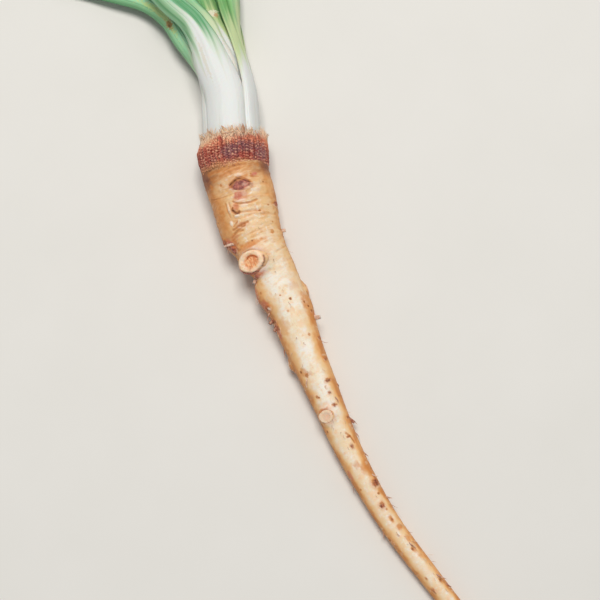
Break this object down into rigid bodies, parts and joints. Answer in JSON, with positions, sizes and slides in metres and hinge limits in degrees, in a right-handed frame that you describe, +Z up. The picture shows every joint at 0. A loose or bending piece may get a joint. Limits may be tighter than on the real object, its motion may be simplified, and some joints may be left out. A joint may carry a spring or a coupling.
{
  "type": "salsify root",
  "caption": "Long tapered salsify taproot lying down, with a collar of dead leaf-base fibres and its tuft of strap leaves.",
  "frame": {"origin": "on the surface the root lies on, in the middle of the flat spot under its shoulder", "axes": "+Z up from that surface, +X along the root from its crown to its tip, +Y to the side that the tip curves to"},
  "size_m": [0.5294, 0.1415, 0.0336],
  "materials": {
    "skin": "matt root skin, cream to tan, with brown scars",
    "fibre": "dry red-brown fibres, straw-coloured at the frayed edge",
    "leaf": "waxy leaf, white at the sheath and green above"
  },
  "bodies": {
    "root": {"taproot": "skin", "fibre_collar": "fibre", "leaf_1": "leaf", "leaf_2": "leaf", "leaf_3": "leaf", "leaf_4": "leaf", "leaf_5": "leaf", "leaf_6": "leaf", "leaf_7": "leaf", "leaf_8": "leaf", "leaf_9": "leaf"}
  },
  "joints": []
}
